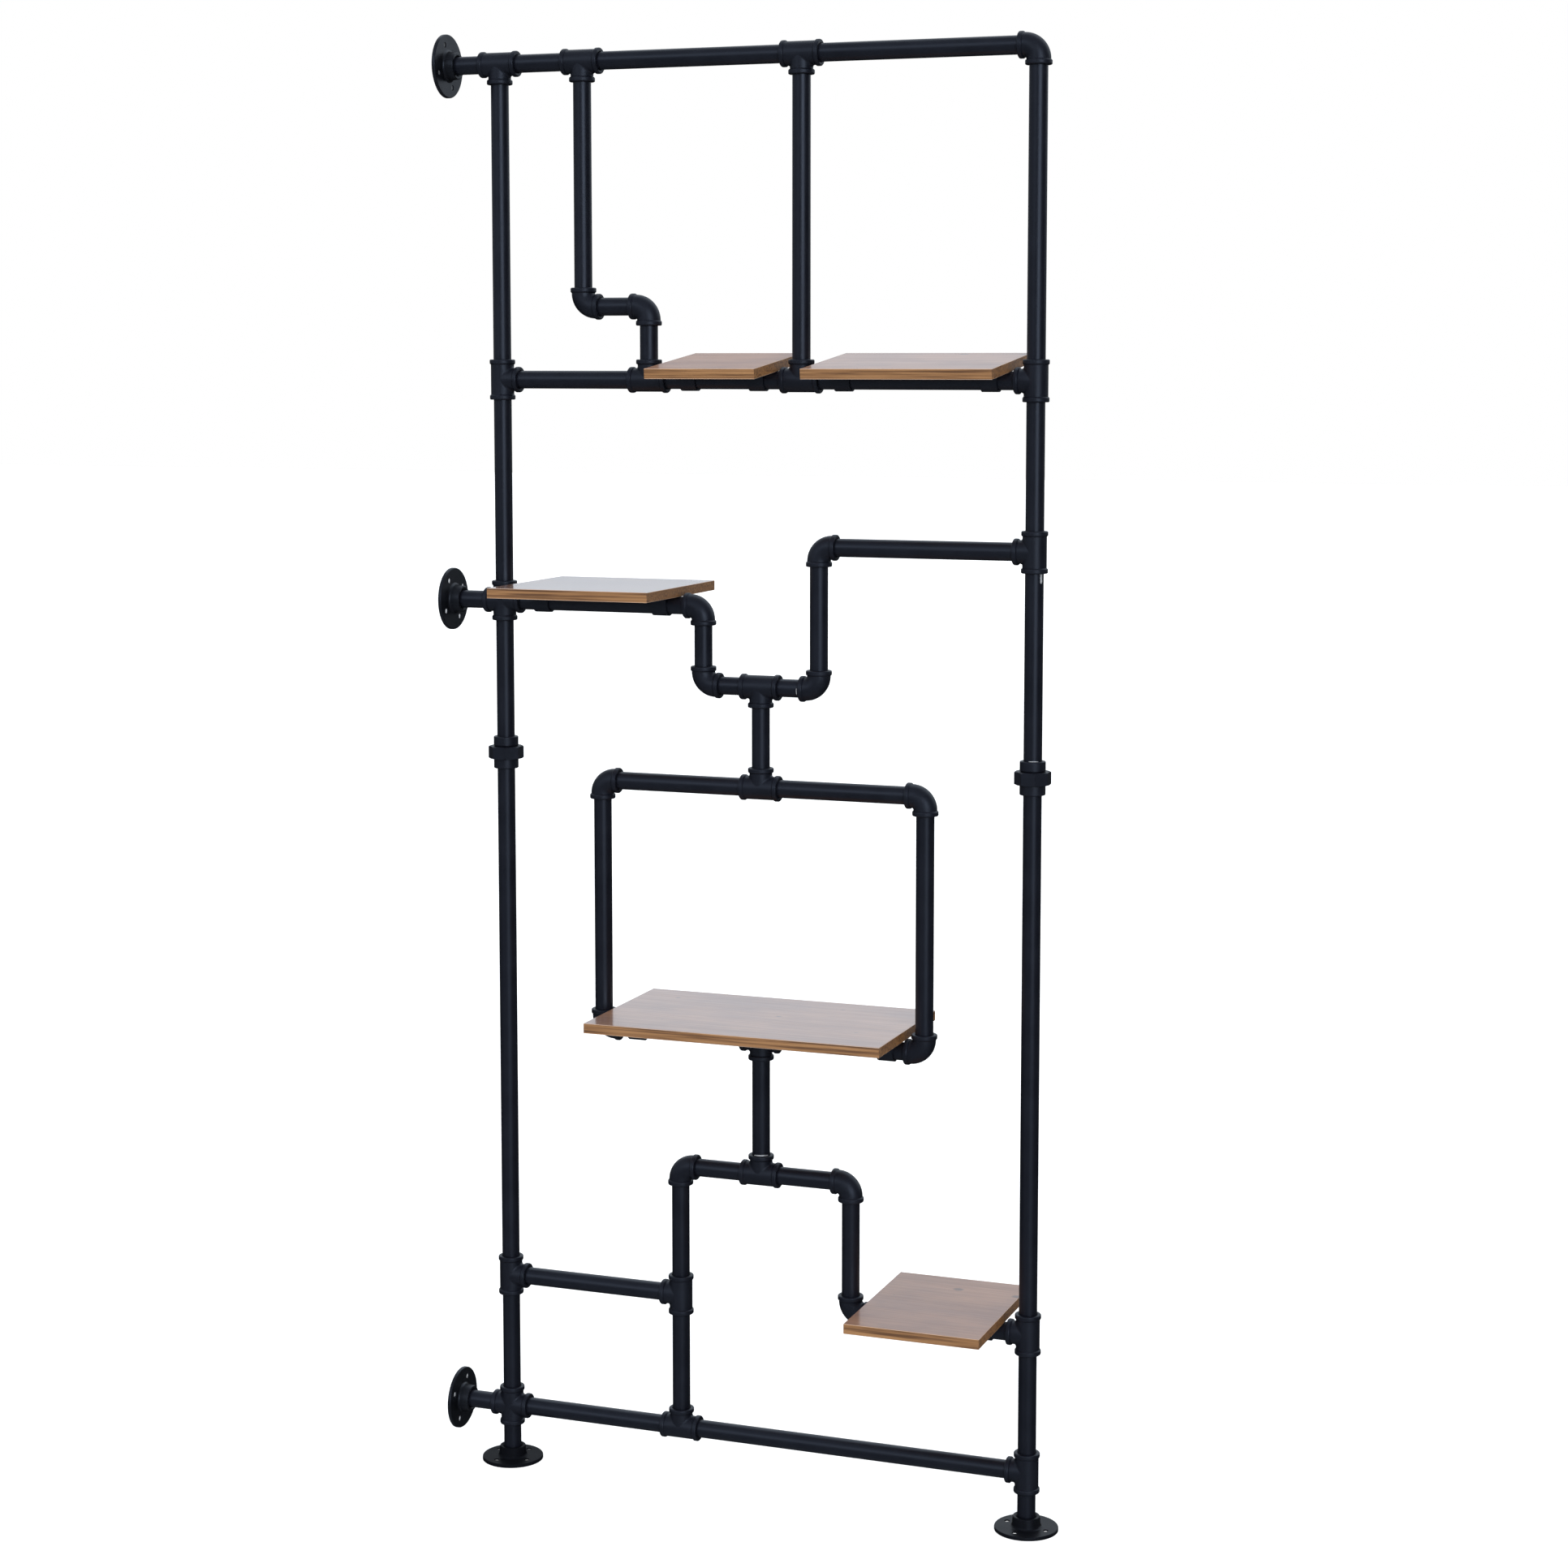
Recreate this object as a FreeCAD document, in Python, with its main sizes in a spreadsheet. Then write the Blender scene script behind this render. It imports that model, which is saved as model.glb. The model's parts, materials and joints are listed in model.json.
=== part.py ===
import FreeCAD, Part
import os
import Sketcher

# Pipe shelving unit. Millimetres, +X along the rails, +Y towards the back, +Z up.
# The origin is on the floor, on the axis of the left post. All the pipework lies in the plane Y = 0.

doc = FreeCAD.newDocument("pipe_shelving_unit")

# ---------------------------------------------------------------- driving dimensions
SIZES = (
    # across the frame, between the pipes' centre lines
    ("post_spacing", 663),
    ("wall_distance", 71),
    ("jog_drop_offset", 107),
    ("jog_width", 84),
    ("upper_left_span", 191),
    ("loop_half_width", 72.5),
    ("box_half_width", 203.5),
    ("bridge_left_arm", 104),
    ("bridge_right_arm", 113.5),
    # up the frame, from each level of rails to the next
    ("bottom_rail_height", 69),
    ("low_rail_rise", 166),
    ("bridge_rise", 158.5),
    ("bridge_hanger_rise", 163.5),
    ("box_rise", 302),
    ("box_hanger_rise", 119.5),
    ("loop_rise", 93.5),
    ("branch_rail_rise", 72.5),
    ("upper_rail_rise", 193),
    ("jog_rise", 86),
    ("top_rail_rise", 286.5),
    ("union_drop", 185),
    # half-inch pipe and its banded fittings
    ("pipe_diameter", 21.3),
    ("pipe_wall", 2.6),
    ("socket_clearance", 0.05),
    ("mouth_chamfer", 0.8),
    ("seat_margin", 1.35),
    ("body_wall", 3.2),
    ("branch_wall", 2.8),
    ("band_height", 1.4),
    ("band_width", 5),
    ("band_slope", 1.2),
    ("band_round", 1.5),
    ("fitting_neck", 3.9),
    ("junction_round", 2.5),
    ("elbow_bend", 16),
    ("elbow_land", 0.3),
    # flanges
    ("flange_diameter", 75),
    ("flange_thickness", 4),
    ("flange_edge_round", 1.2),
    ("hub_wall", 5),
    ("hub_flare", 1.5),
    ("hub_height", 16.5),
    ("hub_foot_round", 3),
    ("hub_rim_round", 1),
    ("flange_mouth_chamfer", 2.2),
    ("flange_seat_height", 4),
    ("flange_bolt_circle", 52.5),
    ("flange_hole_diameter", 6.6),
    ("flange_hole_count", 4),
    ("top_wall_hole_angle", 21),
    ("middle_wall_hole_angle", 31),
    ("lower_wall_hole_angle", 65),
    ("left_floor_hole_angle", -24),
    ("right_floor_hole_angle", -15),
    # unions
    ("union_reach", 19.5),
    ("union_socket_depth", 11),
    ("collar_wall", 4.2),
    ("collar_round", 1.2),
    ("neck_wall", 2.3),
    ("shoulder_step", 3.7),
    ("shoulder_height", 3.5),
    ("thread_step", 0.5),
    ("nut_height", 15),
    ("nut_wall", 2.25),
    ("nut_chamfer", 1.6),
    ("nut_lip", 4.5),
    ("nut_clearance", 0.3),
    # shelf boards
    ("board_thickness", 12),
    ("board_edge_round", 0.6),
    ("board_end_gap", 3.7),
    ("centre_board_end_gap", 4.7),
    ("upper_board_depth", 160),
    ("lower_board_depth", 212),
    ("upper_board_droop", 6.5),
    # straps and their screws
    ("strap_width", 20),
    ("strap_thickness", 2),
    ("strap_clearance", 0.15),
    ("strap_ear", 16),
    ("strap_inset", 25),
    ("screw_inset", 8),
    ("screw_shank_diameter", 3.5),
    ("screw_shank_length", 9),
    ("screw_head_diameter", 7.6),
    ("screw_head_height", 2.4),
    ("screw_head_round", 1.4),
    ("screw_clearance", 0.05),
)

sheet = doc.addObject("Spreadsheet::Sheet", "sizes")
for row, (alias, number) in enumerate(SIZES, start=1):
    sheet.set(f"A{row}", alias)
    sheet.set(f"B{row}", str(number))
    sheet.setAlias(f"B{row}", alias)
doc.recompute()


# ---------------------------------------------------------------- expressions
def size(alias):
    """The expression that reads one driving dimension."""
    return f"sizes.{alias}"


def half(alias):
    return f"sizes.{alias} / 2"


def minus(expression):
    return f"-({expression})"


def add(*expressions):
    return " + ".join(f"({expression})" for expression in expressions)


def less(first, *others):
    return f"({first})" + "".join(f" - ({other})" for other in others)


def value(expression):
    """What an expression gives now, for a sketch's first guess and for picking edges."""
    return float(sheet.evalExpression(expression))


# ---------------------------------------------------------------- where the pipework runs
ORIGIN = "0"
HANGER = half("post_spacing")
JOG_RISE = add(size("jog_drop_offset"), size("jog_width"))
X = {
    "wall": minus(size("wall_distance")),
    "left_post": ORIGIN,
    "right_post": size("post_spacing"),
    "jog_drop": size("jog_drop_offset"),
    "jog_rise": JOG_RISE,
    "middle_drop": add(JOG_RISE, size("upper_left_span")),
    "hanger": HANGER,
    "loop_left": less(HANGER, size("loop_half_width")),
    "loop_right": add(HANGER, size("loop_half_width")),
    "box_left": less(HANGER, size("box_half_width")),
    "box_right": add(HANGER, size("box_half_width")),
    "bridge_left": less(HANGER, size("bridge_left_arm")),
    "bridge_right": add(HANGER, size("bridge_right_arm")),
}
# Each level of the frame, and how far it is above the one before it.
LEVELS = (
    ("bottom", "bottom_rail_height"),
    ("low", "low_rail_rise"),
    ("bridge", "bridge_rise"),
    ("box_bottom", "bridge_hanger_rise"),
    ("box_top", "box_rise"),
    ("loop", "box_hanger_rise"),
    ("middle", "loop_rise"),
    ("branch", "branch_rail_rise"),
    ("upper", "upper_rail_rise"),
    ("jog", "jog_rise"),
    ("top", "top_rail_rise"),
)
Z = {"floor": ORIGIN}
height = ORIGIN
for level, rise in LEVELS:
    height = f"{height} + {size(rise)}"
    Z[level] = height
Z["union"] = less(Z["middle"], size("union_drop"))

# ---------------------------------------------------------------- sizes that follow from the pipe
PIPE_RADIUS = half("pipe_diameter")
WATERWAY_RADIUS = less(PIPE_RADIUS, size("pipe_wall"))
SOCKET_RADIUS = add(PIPE_RADIUS, size("socket_clearance"))
BODY_RADIUS = add(SOCKET_RADIUS, size("body_wall"))
BRANCH_RADIUS = add(SOCKET_RADIUS, size("branch_wall"))
BAND_RADIUS = add(BODY_RADIUS, size("band_height"))
BAND_LENGTH = add(size("band_slope"), size("band_width"))
TEE_REACH = add(BODY_RADIUS, size("fitting_neck"), BAND_LENGTH)
ELBOW_REACH = add(size("elbow_bend"), size("elbow_land"), BAND_LENGTH)
FITTING_SEAT = add(PIPE_RADIUS, size("seat_margin"))
UNION_SEAT = less(size("union_reach"), size("union_socket_depth"))
FLANGE_SEAT = size("flange_seat_height")

UPRIGHT = FreeCAD.Vector(0, 1, 0)
RAIL_AXIS = FreeCAD.Vector(1, 0, 0)
FULL_TURN = 360
HALF_TURN = 180
QUARTER_TURN = 90
# How far each fitting is turned about Y. A tee with no turn has its branch to the right, and an elbow
# with no turn has its arms to the right and up.
FACING = {"right": 0, "up": -QUARTER_TURN, "left": HALF_TURN, "down": QUARTER_TURN}


# ---------------------------------------------------------------- bodies and sketches
def new_body(name, x=ORIGIN, z=ORIGIN, turn=0, axis=UPRIGHT):
    """A body whose own origin stands at the given place in the plane of the pipework."""
    body = doc.addObject("PartDesign::Body", name)
    body.Placement = FreeCAD.Placement(FreeCAD.Vector(), FreeCAD.Rotation(axis, turn))
    body.setExpression("Placement.Base.x", x)
    body.setExpression("Placement.Base.z", z)
    return body


def new_sketch(body, name, plane, offset=None):
    """An empty sketch on one of the body's own origin planes, moved along its normal by offset."""
    sketch = body.newObject("Sketcher::SketchObject", f"{body.Name}_{name}")
    support = next(feature for feature in body.Origin.OriginFeatures if feature.Role == plane)
    sketch.AttachmentSupport = [(support, "")]
    sketch.MapMode = "FlatFace"
    if offset is not None:
        sketch.setExpression("AttachmentOffset.Base.z", offset)
    sketch.Visibility = False
    return sketch


def point(place):
    """A pair of expressions as a point of a sketch."""
    return FreeCAD.Vector(value(place[0]), value(place[1]), 0)


def measure(sketch, kind, *where, expression):
    """Adds a dimension to a sketch and ties it to an expression."""
    index = sketch.addConstraint(Sketcher.Constraint(kind, *where, value(expression)))
    sketch.setExpression(f"Constraints[{index}]", expression)


def pin_point(sketch, geometry, position, place):
    """Ties one point of a sketch to a pair of expressions, measured from the sketch's origin."""
    origin, own_point, across, up = -1, 1, -2, -1
    for kind, axis, expression in (("DistanceX", across, place[0]), ("DistanceY", up, place[1])):
        if expression == ORIGIN:
            sketch.addConstraint(Sketcher.Constraint("PointOnObject", geometry, position, axis))
        else:
            measure(sketch, kind, origin, own_point, geometry, position, expression=expression)


def outline(sketch, corners):
    """A closed outline of straight lines through corners that are pairs of expressions."""
    ends = corners[1:] + corners[:1]
    lines = [
        sketch.addGeometry(Part.LineSegment(point(start), point(end)), False)
        for start, end in zip(corners, ends)
    ]
    for line, following, corner in zip(lines, lines[1:] + lines[:1], corners):
        sketch.addConstraint(Sketcher.Constraint("Coincident", line, 2, following, 1))
        pin_point(sketch, line, 1, corner)


def circle(sketch, radius, place=(ORIGIN, ORIGIN)):
    centre = 3
    shape = Part.Circle(point(place), FreeCAD.Vector(0, 0, 1), value(radius))
    ring = sketch.addGeometry(shape, False)
    measure(sketch, "Radius", ring, expression=radius)
    pin_point(sketch, ring, centre, place)


def turned(body, name, corners, axis="V_Axis", cut=False):
    """Turns an outline in the body's XZ plane about one of its axes, as metal or as a cut."""
    kind = "PartDesign::Groove" if cut else "PartDesign::Revolution"
    sketch = new_sketch(body, f"{name}_profile", "XZ_Plane")
    outline(sketch, corners)
    feature = body.newObject(kind, f"{body.Name}_{name}")
    feature.Profile = sketch
    feature.ReferenceAxis = (sketch, [axis])
    feature.Angle = FULL_TURN


def padded(body, sketch, name, length, midplane=False, cut=False, back=False):
    """Pads or pockets a sketch by an expression."""
    kind = "PartDesign::Pocket" if cut else "PartDesign::Pad"
    feature = body.newObject(kind, f"{body.Name}_{name}")
    feature.Profile = sketch
    feature.Reversed = back
    feature.Midplane = midplane
    feature.setExpression("Length", length)
    return feature


def rounded(body, name, wanted, radius):
    """Rounds the edges of the body's last feature that a test picks out."""
    doc.recompute()
    base = body.Tip
    edges = [f"Edge{index}" for index, edge in enumerate(base.Shape.Edges, start=1) if wanted(edge)]
    feature = body.newObject("PartDesign::Fillet", f"{body.Name}_{name}")
    feature.Base = (base, edges)
    feature.setExpression("Radius", radius)


def is_round(edge, radius):
    """Whether an edge is a circle of the radius that an expression gives."""
    touch = 0.01
    return isinstance(edge.Curve, Part.Circle) and abs(edge.Curve.Radius - value(radius)) < touch


nodes = []


def node(label, pieces):
    """Gives one piece its node name, or gathers several loose pieces under it."""
    if len(pieces) == 1:
        pieces[0].Label = label
        nodes.append(pieces[0])
        return
    group = doc.addObject("Part::Compound", f"{label}_group")
    group.Links = pieces
    group.Label = label
    nodes.append(group)


# ---------------------------------------------------------------- pipes
def pipe(name, start, end, start_seat=FITTING_SEAT, end_seat=FITTING_SEAT):
    """A length of pipe between two fittings, seated on the shoulder inside each of them."""
    (start_x, start_z), (end_x, end_z) = start, end
    if start_z == end_z:
        body = new_body(name, add(X[start_x], start_seat), Z[start_z], turn=QUARTER_TURN)
        length = less(X[end_x], X[start_x], start_seat, end_seat)
    else:
        body = new_body(name, X[start_x], add(Z[start_z], start_seat))
        length = less(Z[end_z], Z[start_z], start_seat, end_seat)
    ring = new_sketch(body, "ring", "XY_Plane")
    circle(ring, PIPE_RADIUS)
    circle(ring, WATERWAY_RADIUS)
    padded(body, ring, "length", length)
    return body


# ---------------------------------------------------------------- fittings
ARM_AXIS = {"up": "V_Axis", "down": "V_Axis", "left": "H_Axis", "right": "H_Axis"}


def on_arm(direction, along, radius):
    """A corner of an arm's outline: so far along the arm, and so far from its axis."""
    if direction in ("down", "left") and along != ORIGIN:
        along = minus(along)
    return (radius, along) if ARM_AXIS[direction] == "V_Axis" else (along, radius)


def arm(body, direction, radius, reach, begin=ORIGIN):
    """One arm of a fitting, from its middle to the banded face."""
    band_start = less(reach, size("band_width"))
    corners = (
        (begin, ORIGIN),
        (begin, radius),
        (less(reach, BAND_LENGTH), radius),
        (band_start, BAND_RADIUS),
        (reach, BAND_RADIUS),
        (reach, ORIGIN),
    )
    profile = [on_arm(direction, along, away) for along, away in corners]
    turned(body, f"{direction}_arm", profile, ARM_AXIS[direction])


def socket(body, direction, reach, seat, chamfer, begin=ORIGIN):
    """The waterway and the pipe socket of one arm, with its seat and its chamfered mouth."""
    corners = (
        (begin, ORIGIN),
        (begin, WATERWAY_RADIUS),
        (seat, WATERWAY_RADIUS),
        (seat, SOCKET_RADIUS),
        (less(reach, chamfer), SOCKET_RADIUS),
        (reach, add(SOCKET_RADIUS, chamfer)),
        (reach, ORIGIN),
    )
    profile = [on_arm(direction, along, away) for along, away in corners]
    turned(body, f"{direction}_socket", profile, ARM_AXIS[direction], cut=True)


def round_bands(body):
    """Rounds the outer corners of the bands into beads."""
    rounded(body, "band_round", lambda edge: is_round(edge, BAND_RADIUS), size("band_round"))


def straight_fitting(name, x, z, branches, facing):
    """A tee with one branch or a cross with two, on a straight run."""
    body = new_body(name, X[x], Z[z], FACING[facing])
    run = ("up", "down")
    for direction in run:
        arm(body, direction, BODY_RADIUS, TEE_REACH)
    for direction in branches:
        arm(body, direction, BRANCH_RADIUS, TEE_REACH)
    rounded(
        body,
        "junction_round",
        lambda edge: isinstance(edge.Curve, Part.BSplineCurve),
        size("junction_round"),
    )
    round_bands(body)
    for direction in run + branches:
        socket(body, direction, TEE_REACH, FITTING_SEAT, size("mouth_chamfer"))
    return body


def tee(name, x, z, facing):
    return straight_fitting(name, x, z, ("right",), facing)


def cross(name, x, z):
    return straight_fitting(name, x, z, ("right", "left"), "right")


def bend(body, name, radius, cut=False):
    """A quarter ring between the two arms of an elbow, as metal or as its waterway."""
    kind = "PartDesign::Groove" if cut else "PartDesign::Revolution"
    below = minus(size("elbow_bend"))
    ring = new_sketch(body, f"{name}_section", "XY_Plane", below)
    circle(ring, radius)
    foot = (below, ORIGIN)
    head = (below, size("elbow_bend"))
    pivot = ring.addGeometry(Part.LineSegment(point(foot), point(head)), True)
    pin_point(ring, pivot, 1, foot)
    pin_point(ring, pivot, 2, head)
    feature = body.newObject(kind, f"{body.Name}_{name}")
    feature.Profile = ring
    feature.ReferenceAxis = (ring, ["Axis0"])
    feature.Angle = QUARTER_TURN
    feature.Reversed = True


def elbow(name, x, z, facing):
    """A right-angle bend. Drawn with its arms to the left and down, so it takes half a turn more."""
    body = new_body(name, X[x], Z[z], FACING[facing] + HALF_TURN)
    arms = ("left", "down")
    bend(body, "bend", BODY_RADIUS)
    for direction in arms:
        arm(body, direction, BODY_RADIUS, ELBOW_REACH, begin=size("elbow_bend"))
    round_bands(body)
    bend(body, "waterway", WATERWAY_RADIUS, cut=True)
    begin = half("elbow_bend")
    for direction in arms:
        socket(body, direction, ELBOW_REACH, FITTING_SEAT, size("mouth_chamfer"), begin)
    return body


# ---------------------------------------------------------------- flanges
HUB_RADIUS = add(SOCKET_RADIUS, size("hub_wall"))
HUB_FOOT_RADIUS = add(HUB_RADIUS, size("hub_flare"))


def flange(name, x, z, turn, hole_angle):
    """A round screw-down flange. Drawn flat on the floor with its hub up."""
    body = new_body(name, X[x], Z[z], turn)
    plate = size("flange_thickness")
    plate_radius = half("flange_diameter")
    top = size("hub_height")
    metal = (
        (ORIGIN, ORIGIN),
        (plate_radius, ORIGIN),
        (plate_radius, plate),
        (HUB_FOOT_RADIUS, plate),
        (HUB_RADIUS, top),
        (ORIGIN, top),
    )
    turned(body, "plate_and_hub", metal)
    half_plate = value(half("flange_thickness"))
    rounded(body, "rim_round", lambda edge: is_round(edge, HUB_RADIUS), size("hub_rim_round"))
    rounded(body, "foot_round", lambda edge: is_round(edge, HUB_FOOT_RADIUS), size("hub_foot_round"))
    rounded(
        body,
        "edge_round",
        lambda edge: is_round(edge, plate_radius) and edge.CenterOfMass.z > half_plate,
        size("flange_edge_round"),
    )
    socket(body, "up", top, FLANGE_SEAT, size("flange_mouth_chamfer"))
    hole = new_sketch(body, "hole_place", "XY_Plane")
    away = half("flange_bolt_circle")
    place = (f"{away} * cos({size(hole_angle)})", f"{away} * sin({size(hole_angle)})")
    circle(hole, half("flange_hole_diameter"), place)
    first = padded(body, hole, "hole", plate, cut=True, back=True)
    pattern = body.newObject("PartDesign::PolarPattern", f"{name}_holes")
    pattern.Originals = [first]
    pattern.Axis = (hole, ["N_Axis"])
    pattern.Angle = FULL_TURN
    pattern.setExpression("Occurrences", size("flange_hole_count"))
    body.Tip = pattern
    return body


# ---------------------------------------------------------------- unions
NUT_SIDES = 8
NUT_HALF = half("nut_height")
COLLAR_RADIUS = add(SOCKET_RADIUS, size("collar_wall"))
NECK_RADIUS = add(SOCKET_RADIUS, size("neck_wall"))
SHOULDER_RADIUS = add(NECK_RADIUS, size("shoulder_step"))
THREAD_RADIUS = add(SHOULDER_RADIUS, size("thread_step"))
NUT_BORE_RADIUS = add(THREAD_RADIUS, size("nut_clearance"))
NUT_FLAT_DISTANCE = add(NUT_BORE_RADIUS, size("nut_wall"))
LIP_UNDERSIDE = less(NUT_HALF, size("nut_lip"))
SHOULDER_TOP = less(LIP_UNDERSIDE, size("nut_clearance"))
SHOULDER_FOOT = less(SHOULDER_TOP, size("shoulder_height"))
COLLAR_START = add(NUT_HALF, size("nut_clearance"))


def round_collar(body, beyond):
    """Rounds the collar's edges whose height passes a test."""
    rounded(
        body,
        "collar_round",
        lambda edge: is_round(edge, COLLAR_RADIUS) and beyond(edge.CenterOfMass.z),
        size("collar_round"),
    )


def union_tail(name, x):
    """The upper half of a union: a collar above the nut, a neck through it, a shoulder inside it."""
    body = new_body(name, X[x], Z["union"])
    reach = size("union_reach")
    metal = (
        (ORIGIN, SHOULDER_FOOT),
        (SHOULDER_RADIUS, SHOULDER_FOOT),
        (SHOULDER_RADIUS, SHOULDER_TOP),
        (NECK_RADIUS, SHOULDER_TOP),
        (NECK_RADIUS, COLLAR_START),
        (COLLAR_RADIUS, COLLAR_START),
        (COLLAR_RADIUS, reach),
        (ORIGIN, reach),
    )
    turned(body, "metal", metal)
    round_collar(body, lambda height: height > 0)
    socket(body, "up", reach, UNION_SEAT, size("mouth_chamfer"), begin=SHOULDER_FOOT)
    return body


def union_spigot(name, x):
    """The lower half of a union: a collar below the nut and the threaded spigot inside it."""
    body = new_body(name, X[x], Z["union"])
    reach = size("union_reach")
    half_reach = value(half("union_reach"))
    metal = (
        (ORIGIN, minus(reach)),
        (COLLAR_RADIUS, minus(reach)),
        (COLLAR_RADIUS, minus(COLLAR_START)),
        (THREAD_RADIUS, minus(COLLAR_START)),
        (THREAD_RADIUS, SHOULDER_FOOT),
        (ORIGIN, SHOULDER_FOOT),
    )
    turned(body, "metal", metal)
    round_collar(body, lambda height: height < -half_reach)
    socket(body, "down", reach, UNION_SEAT, size("mouth_chamfer"), begin=minus(SHOULDER_FOOT))
    return body


def union_nut(name, x):
    """The eight-sided nut that draws the two halves of a union together."""
    body = new_body(name, X[x], Z["union"])
    flats = new_sketch(body, "flats", "XY_Plane")
    side_angle = FULL_TURN / NUT_SIDES
    corner_radius = f"({NUT_FLAT_DISTANCE}) / cos({side_angle / 2})"
    angles = [(index + 0.5) * side_angle for index in range(NUT_SIDES)]
    corners = [(f"{corner_radius} * cos({angle})", f"{corner_radius} * sin({angle})") for angle in angles]
    outline(flats, corners)
    padded(body, flats, "block", size("nut_height"), midplane=True)
    beyond_corners = add(NUT_FLAT_DISTANCE, size("nut_chamfer"), size("nut_chamfer"))
    for end, top in (("upper", NUT_HALF), ("lower", minus(NUT_HALF))):
        inward = less if end == "upper" else add
        corner = (
            (NUT_FLAT_DISTANCE, top),
            (beyond_corners, top),
            (beyond_corners, inward(top, size("nut_chamfer"))),
        )
        turned(body, f"{end}_chamfer", corner, cut=True)
    lip_radius = add(NECK_RADIUS, size("nut_clearance"))
    hollow = (
        (ORIGIN, minus(NUT_HALF)),
        (NUT_BORE_RADIUS, minus(NUT_HALF)),
        (NUT_BORE_RADIUS, LIP_UNDERSIDE),
        (lip_radius, LIP_UNDERSIDE),
        (lip_radius, NUT_HALF),
        (ORIGIN, NUT_HALF),
    )
    turned(body, "hollow", hollow, cut=True)
    return body


# ---------------------------------------------------------------- shelf boards, straps and screws
STRAP_BORE = add(PIPE_RADIUS, size("strap_clearance"))
STRAP_OUTSIDE = add(STRAP_BORE, size("strap_thickness"))
EAR_END = add(STRAP_OUTSIDE, size("strap_ear"))
SCREW_Y = less(EAR_END, size("screw_inset"))
SCREW_PLACES = (("front", minus(SCREW_Y)), ("back", SCREW_Y))
SCREW_HOLE_RADIUS = add(half("screw_shank_diameter"), size("screw_clearance"))


def on_rail(name, x, z, droop):
    """A body on a rail's centre line, tipped about the rail with the board that it belongs to."""
    if not droop:
        return new_body(name, x, z)
    angle = size("upper_board_droop")
    body = new_body(name, x, z, turn=value(angle), axis=RAIL_AXIS)
    body.setExpression("Placement.Rotation.Angle", angle)
    return body


def strap_place(length, side):
    """How far from a board's middle its left or right strap is."""
    return f"{side} * ({less(f'({length}) / 2', size('strap_inset'))})"


def rectangle(sketch, half_x, low_y, high_y):
    corners = ((minus(half_x), low_y), (half_x, low_y), (half_x, high_y), (minus(half_x), high_y))
    outline(sketch, corners)


def board(name, x, z, length, depth, seat, droop):
    """A shelf board over its rail, with the pilot holes of its straps."""
    body = on_rail(name, x, z, droop)
    plan = new_sketch(body, "plan", "XY_Plane", seat)
    half_depth = f"({depth}) / 2"
    rectangle(plan, f"({length}) / 2", minus(half_depth), half_depth)
    padded(body, plan, "panel", size("board_thickness"))
    rounded(body, "edges", lambda edge: True, size("board_edge_round"))
    pilots = new_sketch(body, "pilots", "XY_Plane", seat)
    for side in (-1, 1):
        for _, screw_y in SCREW_PLACES:
            circle(pilots, SCREW_HOLE_RADIUS, (strap_place(length, side), screw_y))
    pilot_depth = less(size("screw_shank_length"), size("strap_thickness"))
    padded(body, pilots, "pilot_holes", pilot_depth, cut=True, back=True)
    return body


def strap(name, x, z, seat, droop):
    """A two-hole strap that passes under the pipe and lies flat against the board."""
    body = on_rail(name, x, z, droop)

    def slab(part_name, half_y, low_z, high_z, cut=False):
        sketch = new_sketch(body, f"{part_name}_outline", "YZ_Plane")
        rectangle(sketch, half_y, low_z, high_z)
        padded(body, sketch, part_name, size("strap_width"), midplane=True, cut=cut)

    def disc(part_name, radius, cut=False):
        sketch = new_sketch(body, f"{part_name}_outline", "YZ_Plane")
        circle(sketch, radius)
        padded(body, sketch, part_name, size("strap_width"), midplane=True, cut=cut)

    slab("ears", EAR_END, less(seat, size("strap_thickness")), seat)
    slab("legs", STRAP_OUTSIDE, ORIGIN, seat)
    disc("saddle", STRAP_OUTSIDE)
    disc("pipe_way", STRAP_BORE, cut=True)
    slab("board_way", STRAP_BORE, ORIGIN, add(seat, STRAP_OUTSIDE), cut=True)
    holes = new_sketch(body, "screw_places", "XY_Plane", seat)
    for _, screw_y in SCREW_PLACES:
        circle(holes, SCREW_HOLE_RADIUS, (ORIGIN, screw_y))
    padded(body, holes, "screw_holes", size("strap_thickness"), cut=True)
    return body


def strap_screw(name, x, z, screw_y, seat, droop):
    """A pan-head wood screw, up through a strap's ear into the board."""
    body = on_rail(name, x, z, droop)
    under_ear = less(seat, size("strap_thickness"))
    head = new_sketch(body, "head_outline", "XY_Plane", less(under_ear, size("screw_head_height")))
    circle(head, half("screw_head_diameter"), (ORIGIN, screw_y))
    padded(body, head, "head", size("screw_head_height"))
    middle_of_head = value(less(under_ear, half("screw_head_height")))
    rounded(
        body,
        "head_round",
        lambda edge: edge.CenterOfMass.z < middle_of_head,
        size("screw_head_round"),
    )
    shank = new_sketch(body, "shank_outline", "XY_Plane", under_ear)
    circle(shank, half("screw_shank_diameter"), (ORIGIN, screw_y))
    padded(body, shank, "shank", size("screw_shank_length"))
    return body


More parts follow.
